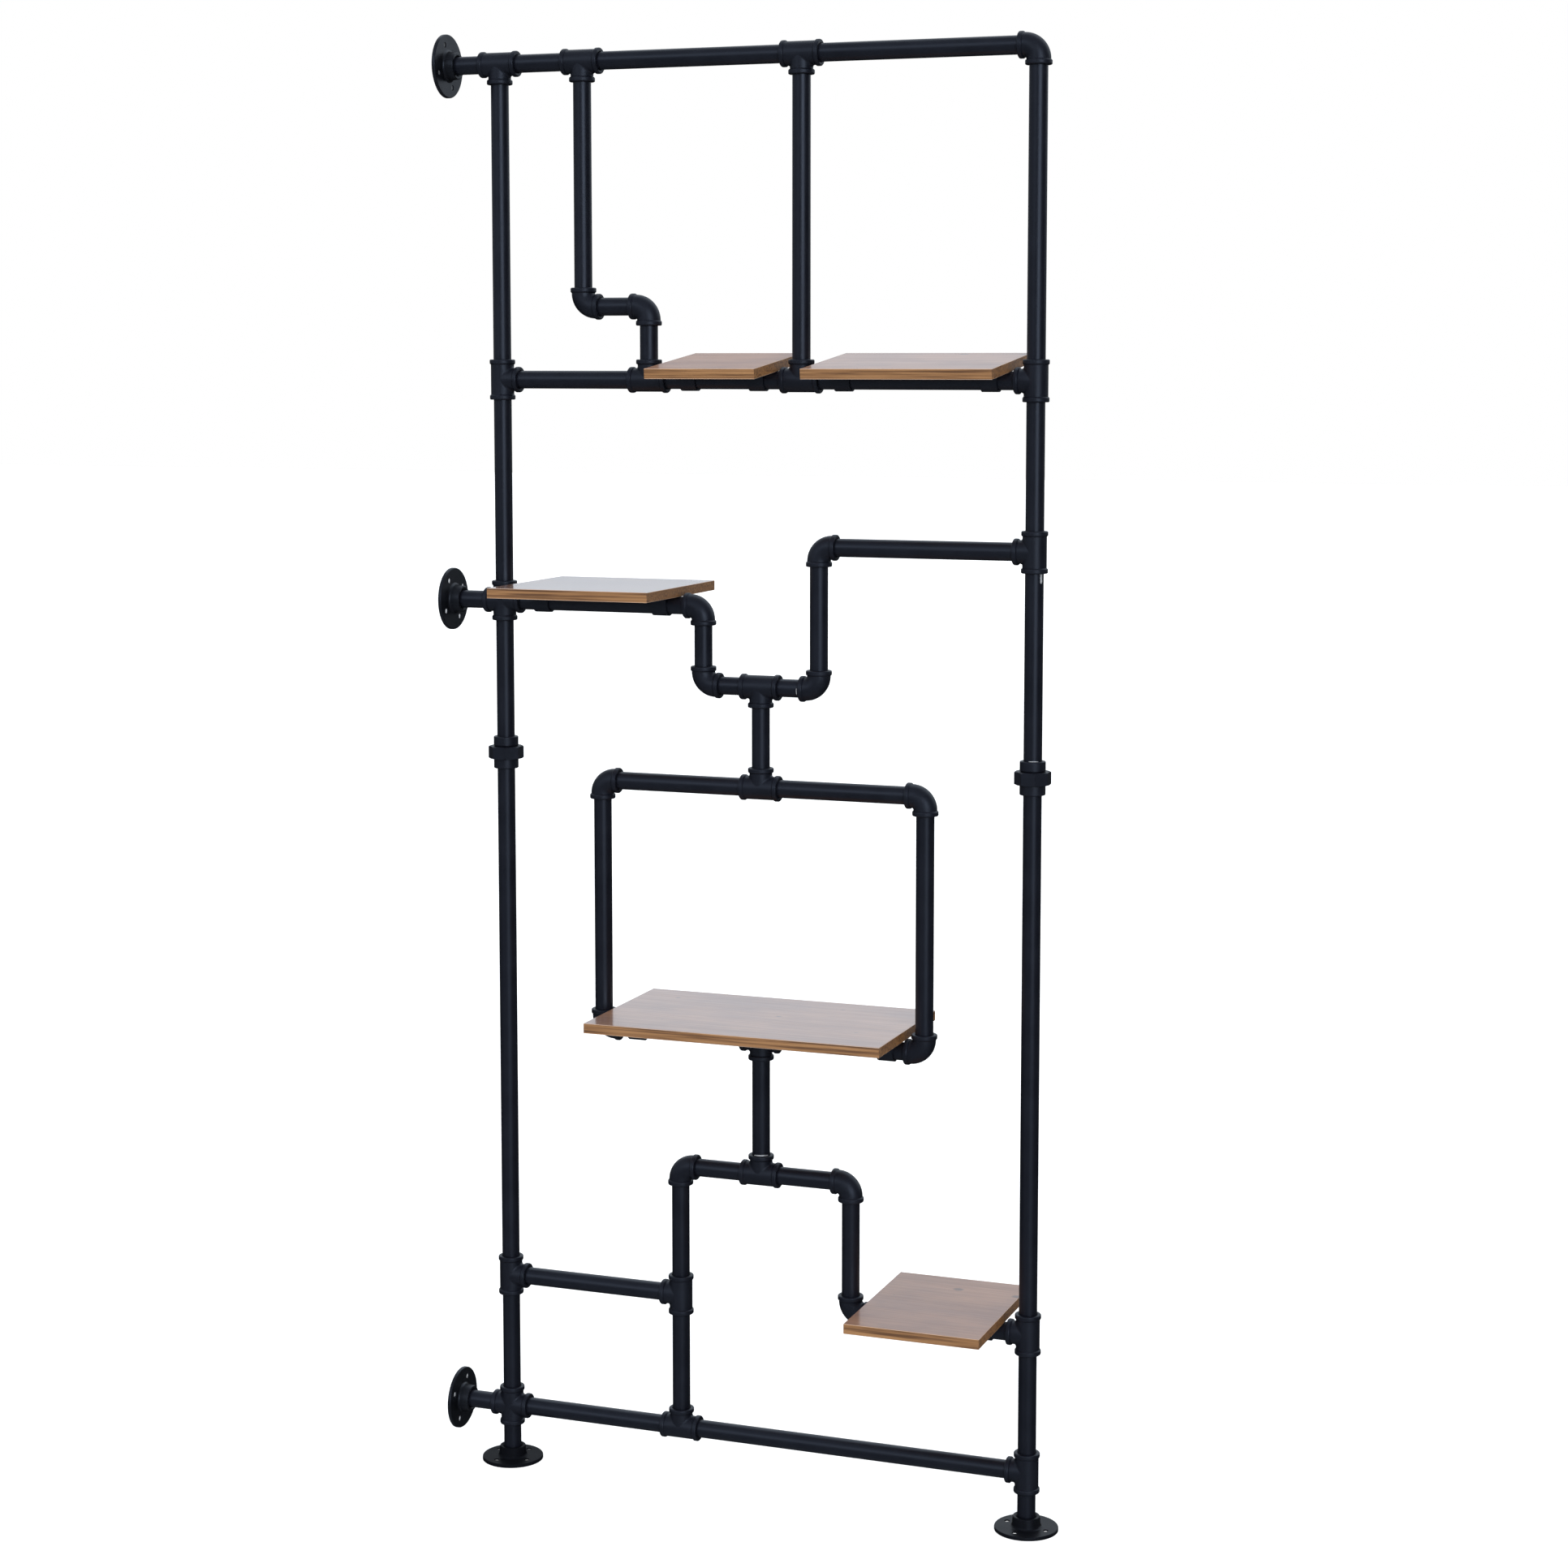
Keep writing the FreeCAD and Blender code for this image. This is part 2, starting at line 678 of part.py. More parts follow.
# ---------------------------------------------------------------- the pipework
node("wall_arm_nipples", [
    pipe("top_wall_nipple", ("wall", "top"), ("left_post", "top"), start_seat=FLANGE_SEAT),
    pipe("middle_wall_nipple", ("wall", "middle"), ("left_post", "middle"), start_seat=FLANGE_SEAT),
    pipe("lower_wall_nipple", ("wall", "bottom"), ("left_post", "bottom"), start_seat=FLANGE_SEAT),
])
node("foot_nipples", [
    pipe("left_foot_nipple", ("left_post", "floor"), ("left_post", "bottom"), start_seat=FLANGE_SEAT),
    pipe("right_foot_nipple", ("right_post", "floor"), ("right_post", "bottom"), start_seat=FLANGE_SEAT),
])
node("top_rail_pipes", [
    pipe("top_rail_left_pipe", ("left_post", "top"), ("jog_drop", "top")),
    pipe("top_rail_middle_pipe", ("jog_drop", "top"), ("middle_drop", "top")),
    pipe("top_rail_right_pipe", ("middle_drop", "top"), ("right_post", "top")),
])
node("jog_pipes", [
    pipe("jog_drop_pipe", ("jog_drop", "jog"), ("jog_drop", "top")),
    pipe("jog_link_pipe", ("jog_drop", "jog"), ("jog_rise", "jog")),
    pipe("jog_rise_pipe", ("jog_rise", "upper"), ("jog_rise", "jog")),
])
node("middle_drop_pipe", [
    pipe("middle_drop", ("middle_drop", "upper"), ("middle_drop", "top")),
])
node("post_top_pipes", [
    pipe("left_post_top_pipe", ("left_post", "upper"), ("left_post", "top")),
    pipe("right_post_top_pipe", ("right_post", "upper"), ("right_post", "top")),
])
node("left_post_middle_pipes", [
    pipe("left_post_upper_pipe", ("left_post", "middle"), ("left_post", "upper")),
    pipe("left_post_union_pipe", ("left_post", "union"), ("left_post", "middle"), start_seat=UNION_SEAT),
])
node("right_post_middle_pipes", [
    pipe("right_post_upper_pipe", ("right_post", "branch"), ("right_post", "upper")),
    pipe("right_post_union_pipe", ("right_post", "union"), ("right_post", "branch"), start_seat=UNION_SEAT),
])
node("post_lower_pipes", [
    pipe("left_post_lower_pipe", ("left_post", "low"), ("left_post", "union"), end_seat=UNION_SEAT),
    pipe("right_post_lower_pipe", ("right_post", "low"), ("right_post", "union"), end_seat=UNION_SEAT),
])
node("bottom_riser_pipes", [
    pipe("left_bottom_riser", ("left_post", "bottom"), ("left_post", "low")),
    pipe("bridge_bottom_riser", ("bridge_left", "bottom"), ("bridge_left", "low")),
    pipe("right_bottom_riser", ("right_post", "bottom"), ("right_post", "low")),
])
node("upper_rail_pipes", [
    pipe("upper_rail_link_pipe", ("left_post", "upper"), ("jog_rise", "upper")),
    pipe("upper_left_shelf_rail", ("jog_rise", "upper"), ("middle_drop", "upper")),
    pipe("upper_right_shelf_rail", ("middle_drop", "upper"), ("right_post", "upper")),
])
node("middle_shelf_rail", [
    pipe("middle_rail_pipe", ("left_post", "middle"), ("loop_left", "middle")),
])
node("loop_left_pipe", [
    pipe("loop_left_drop", ("loop_left", "loop"), ("loop_left", "middle")),
])
node("loop_bottom_pipes", [
    pipe("loop_bottom_left_pipe", ("loop_left", "loop"), ("hanger", "loop")),
    pipe("loop_bottom_right_pipe", ("hanger", "loop"), ("loop_right", "loop")),
])
node("loop_right_pipe", [
    pipe("loop_right_rise", ("loop_right", "loop"), ("loop_right", "branch")),
])
node("branch_rail_pipe", [
    pipe("branch_rail", ("loop_right", "branch"), ("right_post", "branch")),
])
node("box_hanger_pipe", [
    pipe("box_hanger", ("hanger", "box_top"), ("hanger", "loop")),
])
node("box_top_pipes", [
    pipe("box_top_left_pipe", ("box_left", "box_top"), ("hanger", "box_top")),
    pipe("box_top_right_pipe", ("hanger", "box_top"), ("box_right", "box_top")),
])
node("box_side_pipes", [
    pipe("box_left_side_pipe", ("box_left", "box_bottom"), ("box_left", "box_top")),
    pipe("box_right_side_pipe", ("box_right", "box_bottom"), ("box_right", "box_top")),
])
node("centre_shelf_rails", [
    pipe("centre_shelf_left_rail", ("box_left", "box_bottom"), ("hanger", "box_bottom")),
    pipe("centre_shelf_right_rail", ("hanger", "box_bottom"), ("box_right", "box_bottom")),
])
node("bridge_hanger_pipe", [
    pipe("bridge_hanger", ("hanger", "bridge"), ("hanger", "box_bottom")),
])
node("bridge_arm_pipes", [
    pipe("bridge_left_arm_pipe", ("bridge_left", "bridge"), ("hanger", "bridge")),
    pipe("bridge_right_arm_pipe", ("hanger", "bridge"), ("bridge_right", "bridge")),
])
node("bridge_leg_pipes", [
    pipe("bridge_left_leg_pipe", ("bridge_left", "low"), ("bridge_left", "bridge")),
    pipe("bridge_right_leg_pipe", ("bridge_right", "low"), ("bridge_right", "bridge")),
])
node("low_left_rail_pipe", [
    pipe("low_left_rail", ("left_post", "low"), ("bridge_left", "low")),
])
node("lower_shelf_rail", [
    pipe("lower_shelf_rail_pipe", ("bridge_right", "low"), ("right_post", "low")),
])
node("bottom_rail_pipes", [
    pipe("bottom_rail_left_pipe", ("left_post", "bottom"), ("bridge_left", "bottom")),
    pipe("bottom_rail_right_pipe", ("bridge_left", "bottom"), ("right_post", "bottom")),
])

node("top_rail_tees", [
    tee("top_left_tee", "left_post", "top", "down"),
    tee("jog_drop_tee", "jog_drop", "top", "down"),
    tee("middle_drop_tee", "middle_drop", "top", "down"),
])
node("top_corner_elbow", [
    elbow("top_right_elbow", "right_post", "top", "left"),
])
node("jog_elbows", [
    elbow("jog_lower_elbow", "jog_drop", "jog", "right"),
    elbow("jog_upper_elbow", "jog_rise", "jog", "left"),
])
node("upper_rail_post_tees", [
    tee("upper_left_post_tee", "left_post", "upper", "right"),
    tee("upper_right_post_tee", "right_post", "upper", "left"),
])
node("upper_rail_drop_tees", [
    tee("jog_rise_tee", "jog_rise", "upper", "up"),
    tee("middle_drop_foot_tee", "middle_drop", "upper", "up"),
])
node("left_post_crosses", [
    cross("middle_cross", "left_post", "middle"),
    cross("bottom_cross", "left_post", "bottom"),
])
node("branch_rail_tee", [
    tee("right_branch_tee", "right_post", "branch", "left"),
])
node("loop_elbows", [
    elbow("loop_upper_left_elbow", "loop_left", "middle", "left"),
    elbow("loop_lower_left_elbow", "loop_left", "loop", "right"),
    elbow("loop_lower_right_elbow", "loop_right", "loop", "up"),
    elbow("loop_upper_right_elbow", "loop_right", "branch", "down"),
])
node("loop_tee", [
    tee("loop_hanger_tee", "hanger", "loop", "down"),
])
node("box_elbows", [
    elbow("box_upper_left_elbow", "box_left", "box_top", "down"),
    elbow("box_upper_right_elbow", "box_right", "box_top", "left"),
    elbow("box_lower_left_elbow", "box_left", "box_bottom", "right"),
    elbow("box_lower_right_elbow", "box_right", "box_bottom", "up"),
])
node("box_top_tee", [
    tee("box_hanger_tee", "hanger", "box_top", "up"),
])
node("box_bottom_tee", [
    tee("bridge_hanger_tee", "hanger", "box_bottom", "down"),
])
node("bridge_tee", [
    tee("bridge_top_tee", "hanger", "bridge", "up"),
])
node("bridge_elbows", [
    elbow("bridge_left_elbow", "bridge_left", "bridge", "down"),
    elbow("bridge_right_elbow", "bridge_right", "bridge", "left"),
])
node("low_rail_tees", [
    tee("low_left_post_tee", "left_post", "low", "right"),
    tee("low_bridge_tee", "bridge_left", "low", "left"),
    tee("low_right_post_tee", "right_post", "low", "left"),
])
node("lower_shelf_elbow", [
    elbow("lower_shelf_left_elbow", "bridge_right", "low", "right"),
])
node("bottom_rail_tees", [
    tee("bottom_bridge_tee", "bridge_left", "bottom", "up"),
    tee("bottom_right_tee", "right_post", "bottom", "left"),
])

# name, place, turn from lying flat
FLANGES = (
    ("top_wall", "wall", "top", QUARTER_TURN),
    ("middle_wall", "wall", "middle", QUARTER_TURN),
    ("lower_wall", "wall", "bottom", QUARTER_TURN),
    ("left_floor", "left_post", "floor", 0),
    ("right_floor", "right_post", "floor", 0),
)
for name, x, z, turn in FLANGES:
    node(f"{name}_flange", [flange(f"{name}_plate", x, z, turn, f"{name}_hole_angle")])

SIDES = ("left", "right")
node("union_tail_pieces", [union_tail(f"{side}_union_tail", f"{side}_post") for side in SIDES])
node("union_threaded_pieces", [union_spigot(f"{side}_union_thread", f"{side}_post") for side in SIDES])
for side in SIDES:
    node(f"{side}_union_nut", [union_nut(f"{side}_nut", f"{side}_post")])

# ---------------------------------------------------------------- the shelves
# Most boards lie on their pipe and stop short of the fittings at its ends. The centre board crosses
# fittings, so it lies on their bands and stops short of the box's upright arms.
UPPER = size("upper_board_depth")
LOWER = size("lower_board_depth")
ON_PIPE = (PIPE_RADIUS, add(TEE_REACH, size("board_end_gap")))
ON_BANDS = (BAND_RADIUS, add(BAND_RADIUS, size("centre_board_end_gap")))
# name, what stands at its left and right, rail, depth, how it lies
SHELVES = (
    ("upper_left", "jog_rise", "middle_drop", "upper", UPPER, ON_PIPE),
    ("upper_right", "middle_drop", "right_post", "upper", UPPER, ON_PIPE),
    ("middle", "left_post", "loop_left", "middle", LOWER, ON_PIPE),
    ("centre", "box_left", "box_right", "box_bottom", LOWER, ON_BANDS),
    ("lower", "bridge_right", "right_post", "low", LOWER, ON_PIPE),
)
straps = []
screws = []
for name, left, right, rail, depth, (seat, end_distance) in SHELVES:
    droop = rail == "upper"
    middle_x = f"({add(X[left], X[right])}) / 2"
    length = less(X[right], X[left], end_distance, end_distance)
    node(f"{name}_board", [board(f"{name}_shelf", middle_x, Z[rail], length, depth, seat, droop)])
    for side, side_name in ((-1, "left"), (1, "right")):
        place = add(middle_x, strap_place(length, side))
        straps.append(strap(f"{name}_{side_name}_strap", place, Z[rail], seat, droop))
        for edge_name, screw_y in SCREW_PLACES:
            screw_name = f"{name}_{side_name}_{edge_name}_screw"
            screws.append(strap_screw(screw_name, place, Z[rail], screw_y, seat, droop))
node("board_straps", straps)
node("strap_screws", screws)

# ---------------------------------------------------------------- checks and export
doc.recompute()
for item in doc.Objects:
    if "Invalid" in item.State or "Error" in item.State:
        raise RuntimeError(f"{item.Name} didn't build: {item.State}")
os.makedirs("parts", exist_ok=True)
for piece in nodes:
    if piece.Shape.isNull() or not piece.Shape.isValid():
        raise RuntimeError(f"{piece.Label} has no sound shape")
    piece.Shape.exportStep(f"parts/{piece.Label}.step")
    print(piece.Label, len(piece.Shape.Solids), round(piece.Shape.Volume, 1))
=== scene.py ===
import json
import math

import bpy
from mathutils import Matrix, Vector


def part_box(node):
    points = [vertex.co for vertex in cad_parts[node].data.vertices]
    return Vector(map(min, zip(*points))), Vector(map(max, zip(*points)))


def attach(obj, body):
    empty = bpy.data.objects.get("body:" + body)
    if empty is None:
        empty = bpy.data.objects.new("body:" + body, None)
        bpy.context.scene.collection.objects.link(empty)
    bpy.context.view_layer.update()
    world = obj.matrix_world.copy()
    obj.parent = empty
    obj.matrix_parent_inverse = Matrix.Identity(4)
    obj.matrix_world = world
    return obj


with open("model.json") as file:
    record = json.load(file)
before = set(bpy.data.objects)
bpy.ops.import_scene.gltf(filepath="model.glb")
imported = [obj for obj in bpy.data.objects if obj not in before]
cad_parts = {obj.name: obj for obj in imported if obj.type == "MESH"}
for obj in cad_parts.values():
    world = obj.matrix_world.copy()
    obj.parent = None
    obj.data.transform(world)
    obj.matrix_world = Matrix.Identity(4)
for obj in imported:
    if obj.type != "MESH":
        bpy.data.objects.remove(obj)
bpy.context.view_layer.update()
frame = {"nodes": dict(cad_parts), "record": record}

NODES = frame["nodes"]
RECORD = frame["record"]


# ---------------------------------------------------------------- shader helpers
class Graph:
    """A node tree, with short ways to add and join nodes."""

    def __init__(self, tree):
        self.tree = tree

    def put(self, socket, value):
        """Sets an input, or links it to another node's output."""
        if isinstance(value, bpy.types.NodeSocket):
            self.tree.links.new(value, socket)
        else:
            socket.default_value = value

    def put_named(self, node, inputs):
        """Sets or links a node's inputs by their names, with _ for spaces."""
        for name, value in inputs.items():
            self.put(node.inputs[name.replace("_", " ")], value)

    def add(self, kind, *ordered, settings=None, **named):
        """A new node, with its inputs given in their order or by name."""
        node = self.tree.nodes.new(kind)
        for name, value in (settings or {}).items():
            setattr(node, name, value)
        for socket, value in zip(node.inputs, ordered):
            self.put(socket, value)
        self.put_named(node, named)
        return node

    def maths(self, operation, *values, kind="ShaderNodeMath"):
        return self.add(kind, *values, settings={"operation": operation}).outputs["Value"]

    def span(self, value, low, high, to_low, to_high, fade="LINEAR"):
        """Maps one range of a value onto another."""
        numbers = (low, high, to_low, to_high)
        return self.add(
            "ShaderNodeMapRange", value, *numbers, settings={"interpolation_type": fade},
        ).outputs[0]

    def along(self, vector, axis):
        """One component of a vector."""
        return self.add("ShaderNodeSeparateXYZ", vector).outputs[axis]


class Material(Graph):
    """The nodes of a new material."""

    def __init__(self, name):
        self.material = bpy.data.materials.new(name)
        self.material.use_nodes = True
        super().__init__(self.material.node_tree)

    def shade(self, **inputs):
        """Gives the shader its inputs and returns the material."""
        self.put_named(self.tree.nodes["Principled BSDF"], inputs)
        return self.material

    def place(self, stretch=(1, 1, 1), shift=(0, 0, 0)):
        """Where a point is on the resting object, in metres, stretched along each axis, then shifted."""
        where = self.add("ShaderNodeTexCoord").outputs["Object"]
        moved = self.add("ShaderNodeMapping", Vector=where, Scale=stretch, Location=shift)
        return moved.outputs["Vector"]

    def steepness(self, axis):
        """0 where the surface runs along an axis, 1 where it faces along it."""
        facing = self.add("ShaderNodeTexCoord").outputs["Normal"]
        return self.maths("ABSOLUTE", self.along(facing, axis))

    def noise(self, scale=1, stretch=(1, 1, 1), detail=2, roughness=0.5, distortion=0.0):
        return self.add(
            "ShaderNodeTexNoise", Vector=self.place(stretch), Scale=scale, Detail=detail,
            Roughness=roughness, Distortion=distortion,
        ).outputs[0]

    def ramp(self, factor, stops):
        """A colour ramp through (position, colour) pairs."""
        node = self.add("ShaderNodeValToRGB", factor)
        elements = node.color_ramp.elements
        while len(elements) < len(stops):
            elements.new(0.5)
        for element, (position, colour) in zip(elements, stops):
            element.position = position
            element.color = (*colour, 1)
        return node.outputs["Color"]

    def mix(self, factor, first, second, blend="MIX"):
        """Mixes two colours, each another node's output or three numbers."""
        colours = [(*colour, 1) if isinstance(colour, tuple) else colour for colour in (first, second)]
        return self.add(
            "ShaderNodeMixRGB", factor, *colours, settings={"blend_type": blend},
        ).outputs["Color"]

    def bump(self, height, depth):
        return self.add("ShaderNodeBump", Height=height, Distance=depth).outputs["Normal"]


# ---------------------------------------------------------------- black coat
# The darkest and the lightest colour of each coat's mottle.
NAVY = (0.0030, 0.0033, 0.0060), (0.0044, 0.0050, 0.0085)
BLACK = (0.0028, 0.0030, 0.0042), (0.0042, 0.0046, 0.0062)
MOTTLE_SCALE, GRAIN_SCALE = 38, 900
# The specular level where the coat faces the viewer, and at the rim of a round form.
FACING_LEVEL, RIM_LEVEL = 0.5, 0.06
REFLECTION_TINT = (0.72, 0.80, 0.98, 1)

# The flanges' screw holes.
HOLES = next(mount["dims"] for mount in RECORD["mounts"] if mount["kind"] == "bolt_pattern")
HOLE_CIRCLE, HOLE_RADIUS = HOLES["pcd_mm"] / 1000, HOLES["hole_r_mm"] / 1000
HOLE_MARGIN = 0.0001
WALL_STEEPNESS = 0.3
# Each flange's gloss, the pale grey painted on the walls of its screw holes for the light seen in them, and
# up to which height above its back.
FLANGE_LOOKS = {
    "top_wall_flange": (1.0, 0.10, 0.0024),
    "middle_wall_flange": (1.0, 0.60, 0.0025),
    "lower_wall_flange": (1.0, 0.45, 0.0024),
    "left_floor_flange": (0.07, 0.22, 0.0024),
    "right_floor_flange": (0.35, 0.90, 0.0021),
}


def deep_in_holes(graph, node, depth):
    """1 on the walls of a flange's screw holes, up to a height above the flange's back: where the light seen
    in the holes is painted.
    """
    low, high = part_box(node)
    axis = min(range(3), key=lambda index: high[index] - low[index])
    across = [float(index != axis) for index in range(3)]
    shift = [-share * (low[index] + high[index]) / 2 for index, share in enumerate(across)]
    radius = graph.maths("LENGTH", graph.place(across, shift), kind="ShaderNodeVectorMath")
    near_circle = graph.maths("COMPARE", radius, HOLE_CIRCLE / 2, HOLE_RADIUS + HOLE_MARGIN)
    wall = graph.maths("LESS_THAN", graph.steepness(axis), WALL_STEEPNESS)
    deep = graph.maths("LESS_THAN", graph.along(graph.place(), axis), low[axis] + depth)
    return graph.maths("MULTIPLY", graph.maths("MULTIPLY", near_circle, wall), deep)


def coat(name, colours, roughness, grain_depth, flange=None):
    """Satin powder coat: a faint mottle of colour and gloss over a fine orange peel, and on a flange a
    painted light grey on the walls of its screw holes.
    """
    graph = Material(name)
    dark, light = colours
    smooth, rough = roughness
    mottle = graph.noise(MOTTLE_SCALE, detail=3)
    grain = graph.noise(GRAIN_SCALE)
    rim = graph.add("ShaderNodeLayerWeight", Blend=0.5).outputs["Facing"]
    colour = graph.ramp(mottle, ((0.3, dark), (0.7, light)))
    gloss = 1.0
    if flange:
        gloss, hole_light, depth = FLANGE_LOOKS[flange]
        # Painted light: a pale grey on the hole walls stands in for the light seen in the holes.
        colour = graph.mix(deep_in_holes(graph, flange, depth), colour, (hole_light, hole_light, hole_light))
    return graph.shade(
        Base_Color=colour,
        Roughness=graph.span(mottle, 0.25, 0.75, smooth, rough),
        Specular_IOR_Level=graph.span(rim, 0.4, 0.95, FACING_LEVEL * gloss, RIM_LEVEL * gloss),
        Specular_Tint=REFLECTION_TINT,
        Normal=graph.bump(grain, grain_depth),
    )


# ---------------------------------------------------------------- oak
# How closely each pattern repeats along a board, across it and through it.
RING_STRETCH = (3.2, 42, 60)
STREAK_STRETCH = (9, 420, 420)
PORE_STRETCH = (60, 1900, 1900)
CLOUD_STRETCH = (9, 14, 14)
KNOT_STRETCH = (13, 17, 1)
KNOT_SHARE = 0.35
PORE_DEPTH = 0.00003
# The colours of a board's top and of its edges, and where they lie in the rings and the streaks.
TOP_COLOURS = (
    (0.30, (0.205, 0.094, 0.047)),
    (0.50, (0.248, 0.120, 0.062)),
    (0.72, (0.224, 0.105, 0.054)),
)
EDGE_COLOURS = (
    (0.38, (0.095, 0.040, 0.013)),
    (0.50, (0.195, 0.090, 0.030)),
    (0.64, (0.265, 0.132, 0.048)),
)
# The painted highlight along a board's rounded arris: a paler colour where the edge turns.
ARRIS_HIGHLIGHT_COLOUR = (0.50, 0.36, 0.27)
# What darkens a top: its colour, the two pattern values it changes between, and its share at each.
CLOUDS = (0.135, 0.060, 0.038), (0.40, 0.68, 0.0, 0.75)
STREAKS = (0.13, 0.062, 0.034), (0.40, 0.66, 0.0, 0.26)
KNOTS = (0.050, 0.022, 0.014), (0.10, 0.15, 0.8, 0.0)
# Masks by how flat the surface lies: 1 on a board's top, 0 on its edges, and the rounded arris between.
OFF, ON = (0, 0, 0), (1, 1, 1)
TOP_MASK = ((0.02, OFF), (0.98, ON))
# Where the painted highlight lies: on the rounded arris between a top and its edges.
ARRIS_HIGHLIGHT_MASK = ((0.05, OFF), (0.3, ON), (0.7, ON), (0.95, OFF))
LACQUER_ROUGHNESS = 0.12
BOARD_GLOSS = {
    "upper_left_board": 0.15,
    "upper_right_board": 0.44,
    "middle_board": 1.0,
    "centre_board": 0.9,
    "lower_board": 0.6,
}


def oak(name, gloss):
    """Brown oak under a clear coat, its grain along X, with golden edges and a painted highlight along the
    rounded arris.
    """
    graph = Material(name)
    rings = graph.noise(stretch=RING_STRETCH, detail=3, distortion=0.9)
    streaks = graph.noise(stretch=STREAK_STRETCH, detail=4)
    pores = graph.noise(stretch=PORE_STRETCH)
    clouds = graph.noise(stretch=CLOUD_STRETCH, detail=3, roughness=0.6)
    cells = graph.add(
        "ShaderNodeTexVoronoi", settings={"voronoi_dimensions": "2D"},
        Vector=graph.place(KNOT_STRETCH), Scale=1,
    ).outputs
    knots = graph.mix(KNOT_SHARE, cells["Distance"], cells["Color"], "ADD")
    top = graph.ramp(rings, TOP_COLOURS)
    for pattern, (colour, limits) in ((clouds, CLOUDS), (streaks, STREAKS), (knots, KNOTS)):
        top = graph.mix(graph.span(pattern, *limits), top, colour)
    edge = graph.ramp(streaks, EDGE_COLOURS)
    flat = graph.span(graph.steepness(2), 0.1, 0.9, 0, 1)
    wood = graph.mix(graph.ramp(flat, TOP_MASK), edge, top)
    return graph.shade(
        # Painted highlight: a paler colour along the rounded arris.
        Base_Color=graph.mix(graph.ramp(flat, ARRIS_HIGHLIGHT_MASK), wood, ARRIS_HIGHLIGHT_COLOUR),
        Roughness=graph.span(streaks, 0.3, 0.7, 0.42, 0.52),
        Normal=graph.bump(pores, PORE_DEPTH),
        Coat_Weight=gloss,
        Coat_Roughness=LACQUER_ROUGHNESS,
    )


# ---------------------------------------------------------------- bare steel
SCRATCH_STRETCH = (900, 900, 4000)
SCRATCH_COLOURS = ((0.35, (0.30, 0.31, 0.33)), (0.6, (0.58, 0.59, 0.61)))
SCRATCH_DEPTH = 0.00002


def bare_steel(name):
    """Cut thread where the coat has been scraped off by the fitting."""
    graph = Material(name)
    scratches = graph.noise(stretch=SCRATCH_STRETCH, detail=3)
    return graph.shade(
        Base_Color=graph.ramp(scratches, SCRATCH_COLOURS),
        Roughness=graph.span(scratches, 0.3, 0.7, 0.3, 0.5),
        Normal=graph.bump(scratches, SCRATCH_DEPTH),
        Metallic=0.5,
    )


# ---------------------------------------------------------------- materials on the nodes
BARE_STEEL = bare_steel("bare_steel")
FINE_PEEL, FLANGE_PEEL, CAST_PEEL = 0.00002, 0.00004, 0.00005
MATERIALS = {
    "pipe_steel": coat("pipe_coat", NAVY, (0.34, 0.40), FINE_PEEL),
    "fitting_iron": coat("fitting_coat", NAVY, (0.40, 0.48), CAST_PEEL),
    "union_iron": coat("union_coat", NAVY, (0.40, 0.48), CAST_PEEL),
    "strap_steel": coat("strap_paint", NAVY, (0.40, 0.46), FINE_PEEL),
    "screw_steel": coat("screw_finish", BLACK, (0.32, 0.40), FINE_PEEL),
}
SLOT_OF_NODE = {part["node"]: part["material_slot"] for part in RECORD["subparts"]}
for name, obj in NODES.items():
    if name in BOARD_GLOSS:
        material = oak(f"{name}_oak", BOARD_GLOSS[name])
    elif name in FLANGE_LOOKS:
        material = coat(f"{name}_coat", BLACK, (0.36, 0.44), FLANGE_PEEL, flange=name)
    else:
        material = MATERIALS[SLOT_OF_NODE[name]]
    obj.data.materials.clear()
    obj.data.materials.append(material)


# ---------------------------------------------------------------- bare metal beside some fittings
PIPE_LOW, PIPE_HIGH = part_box("box_hanger_pipe")
PIPE_RADIUS = (PIPE_HIGH.x - PIPE_LOW.x) / 2
THREAD_PITCH = 0.0018
RIDGE_HEIGHT = 0.00022
# How far the patch stands over the pipe between its ridges, and how far its rim dips into the pipe.
PATCH_SKIN = 0.00007
PATCH_SINK = 0.00015
PATCH_COLUMNS = 28
PATCH_ROWS = 14


def bare_patch(name, mouth, along, facing, half_angle, reach, taper):
    """Metal left bare on a pipe beside a fitting's mouth: traces of thread under a scraped coat.

    The patch starts at the mouth, runs along the pipe and faces one side of it, half_angle degrees
    to either side. Its reach along the pipe shrinks towards its sides by the share taper. Its rim
    dips into the pipe, so that its edge is shut.
    """
    along, facing = Vector(along), Vector(facing).normalized()
    side = along.cross(facing)
    vertices, faces = [], []
    for column in range(PATCH_COLUMNS + 1):
        share = 2 * column / PATCH_COLUMNS - 1
        angle = math.radians(half_angle) * share
        outward = math.cos(angle) * facing + math.sin(angle) * side
        length = reach * (1 - taper * share * share)
        for row in range(PATCH_ROWS + 1):
            distance = length * row / PATCH_ROWS
            wave = math.cos(math.tau * distance / THREAD_PITCH + angle)
            height = PATCH_SKIN + RIDGE_HEIGHT * max(0, wave)
            if column in (0, PATCH_COLUMNS) or row in (0, PATCH_ROWS):
                height = -PATCH_SINK
            vertices.append(tuple(along * distance + outward * (PIPE_RADIUS + height)))
    rows = PATCH_ROWS + 1
    for column in range(PATCH_COLUMNS):
        for row in range(PATCH_ROWS):
            corner = column * rows + row
            faces.append((corner, corner + rows, corner + rows + 1, corner + 1))
    mesh = bpy.data.meshes.new(name)
    mesh.from_pydata(vertices, [], faces)
    mesh.materials.append(BARE_STEEL)
    mesh.shade_smooth()
    piece = bpy.data.objects.new(name, mesh)
    piece.location = mouth
    bpy.context.scene.collection.objects.link(piece)
    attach(piece, "frame")


def middle_of(node):
    low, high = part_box(node)
    return (low + high) / 2


